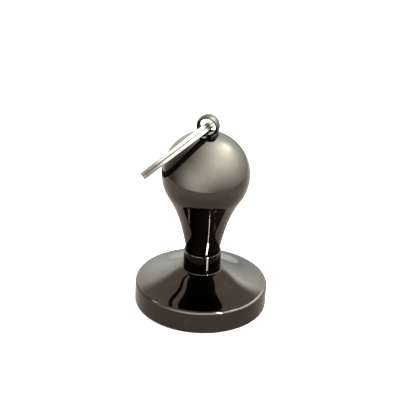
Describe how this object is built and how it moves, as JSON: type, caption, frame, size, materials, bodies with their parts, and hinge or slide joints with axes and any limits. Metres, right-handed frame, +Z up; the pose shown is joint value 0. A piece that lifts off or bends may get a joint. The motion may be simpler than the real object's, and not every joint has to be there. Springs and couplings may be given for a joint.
{
  "type": "tamper key fob",
  "caption": "Polished key fob shaped like an espresso tamper: wide round base, collar, bulb handle, and a ball eye carrying a split key ring that swings over the top.",
  "frame": {"origin": "centre of the base's underside, where the fob stands on a table", "axes": "+Z up along the turned axis; +X to the right seen from the front, with the key ring resting on the -X shoulder; -Y towards the front"},
  "size_m": [0.0315, 0.0314, 0.048],
  "materials": {
    "black_nickel": "polished",
    "black_collar": "polished",
    "stud_steel": "satin",
    "ring_nickel": "satin"
  },
  "bodies": {
    "tamper": {"base": "black_nickel", "collar": "black_collar", "handle": "black_nickel", "connecting_stud": "stud_steel", "ball_eye": "black_nickel"},
    "key_ring": {"split_ring": "ring_nickel"}
  },
  "joints": [
    {"name": "ring_swing", "type": "hinge", "parent": "tamper", "child": "key_ring", "pos_m": [0, 0, 0.0451], "axis": [0.4226, 0.9063, 0], "range_deg": [0, 270]}
  ]
}
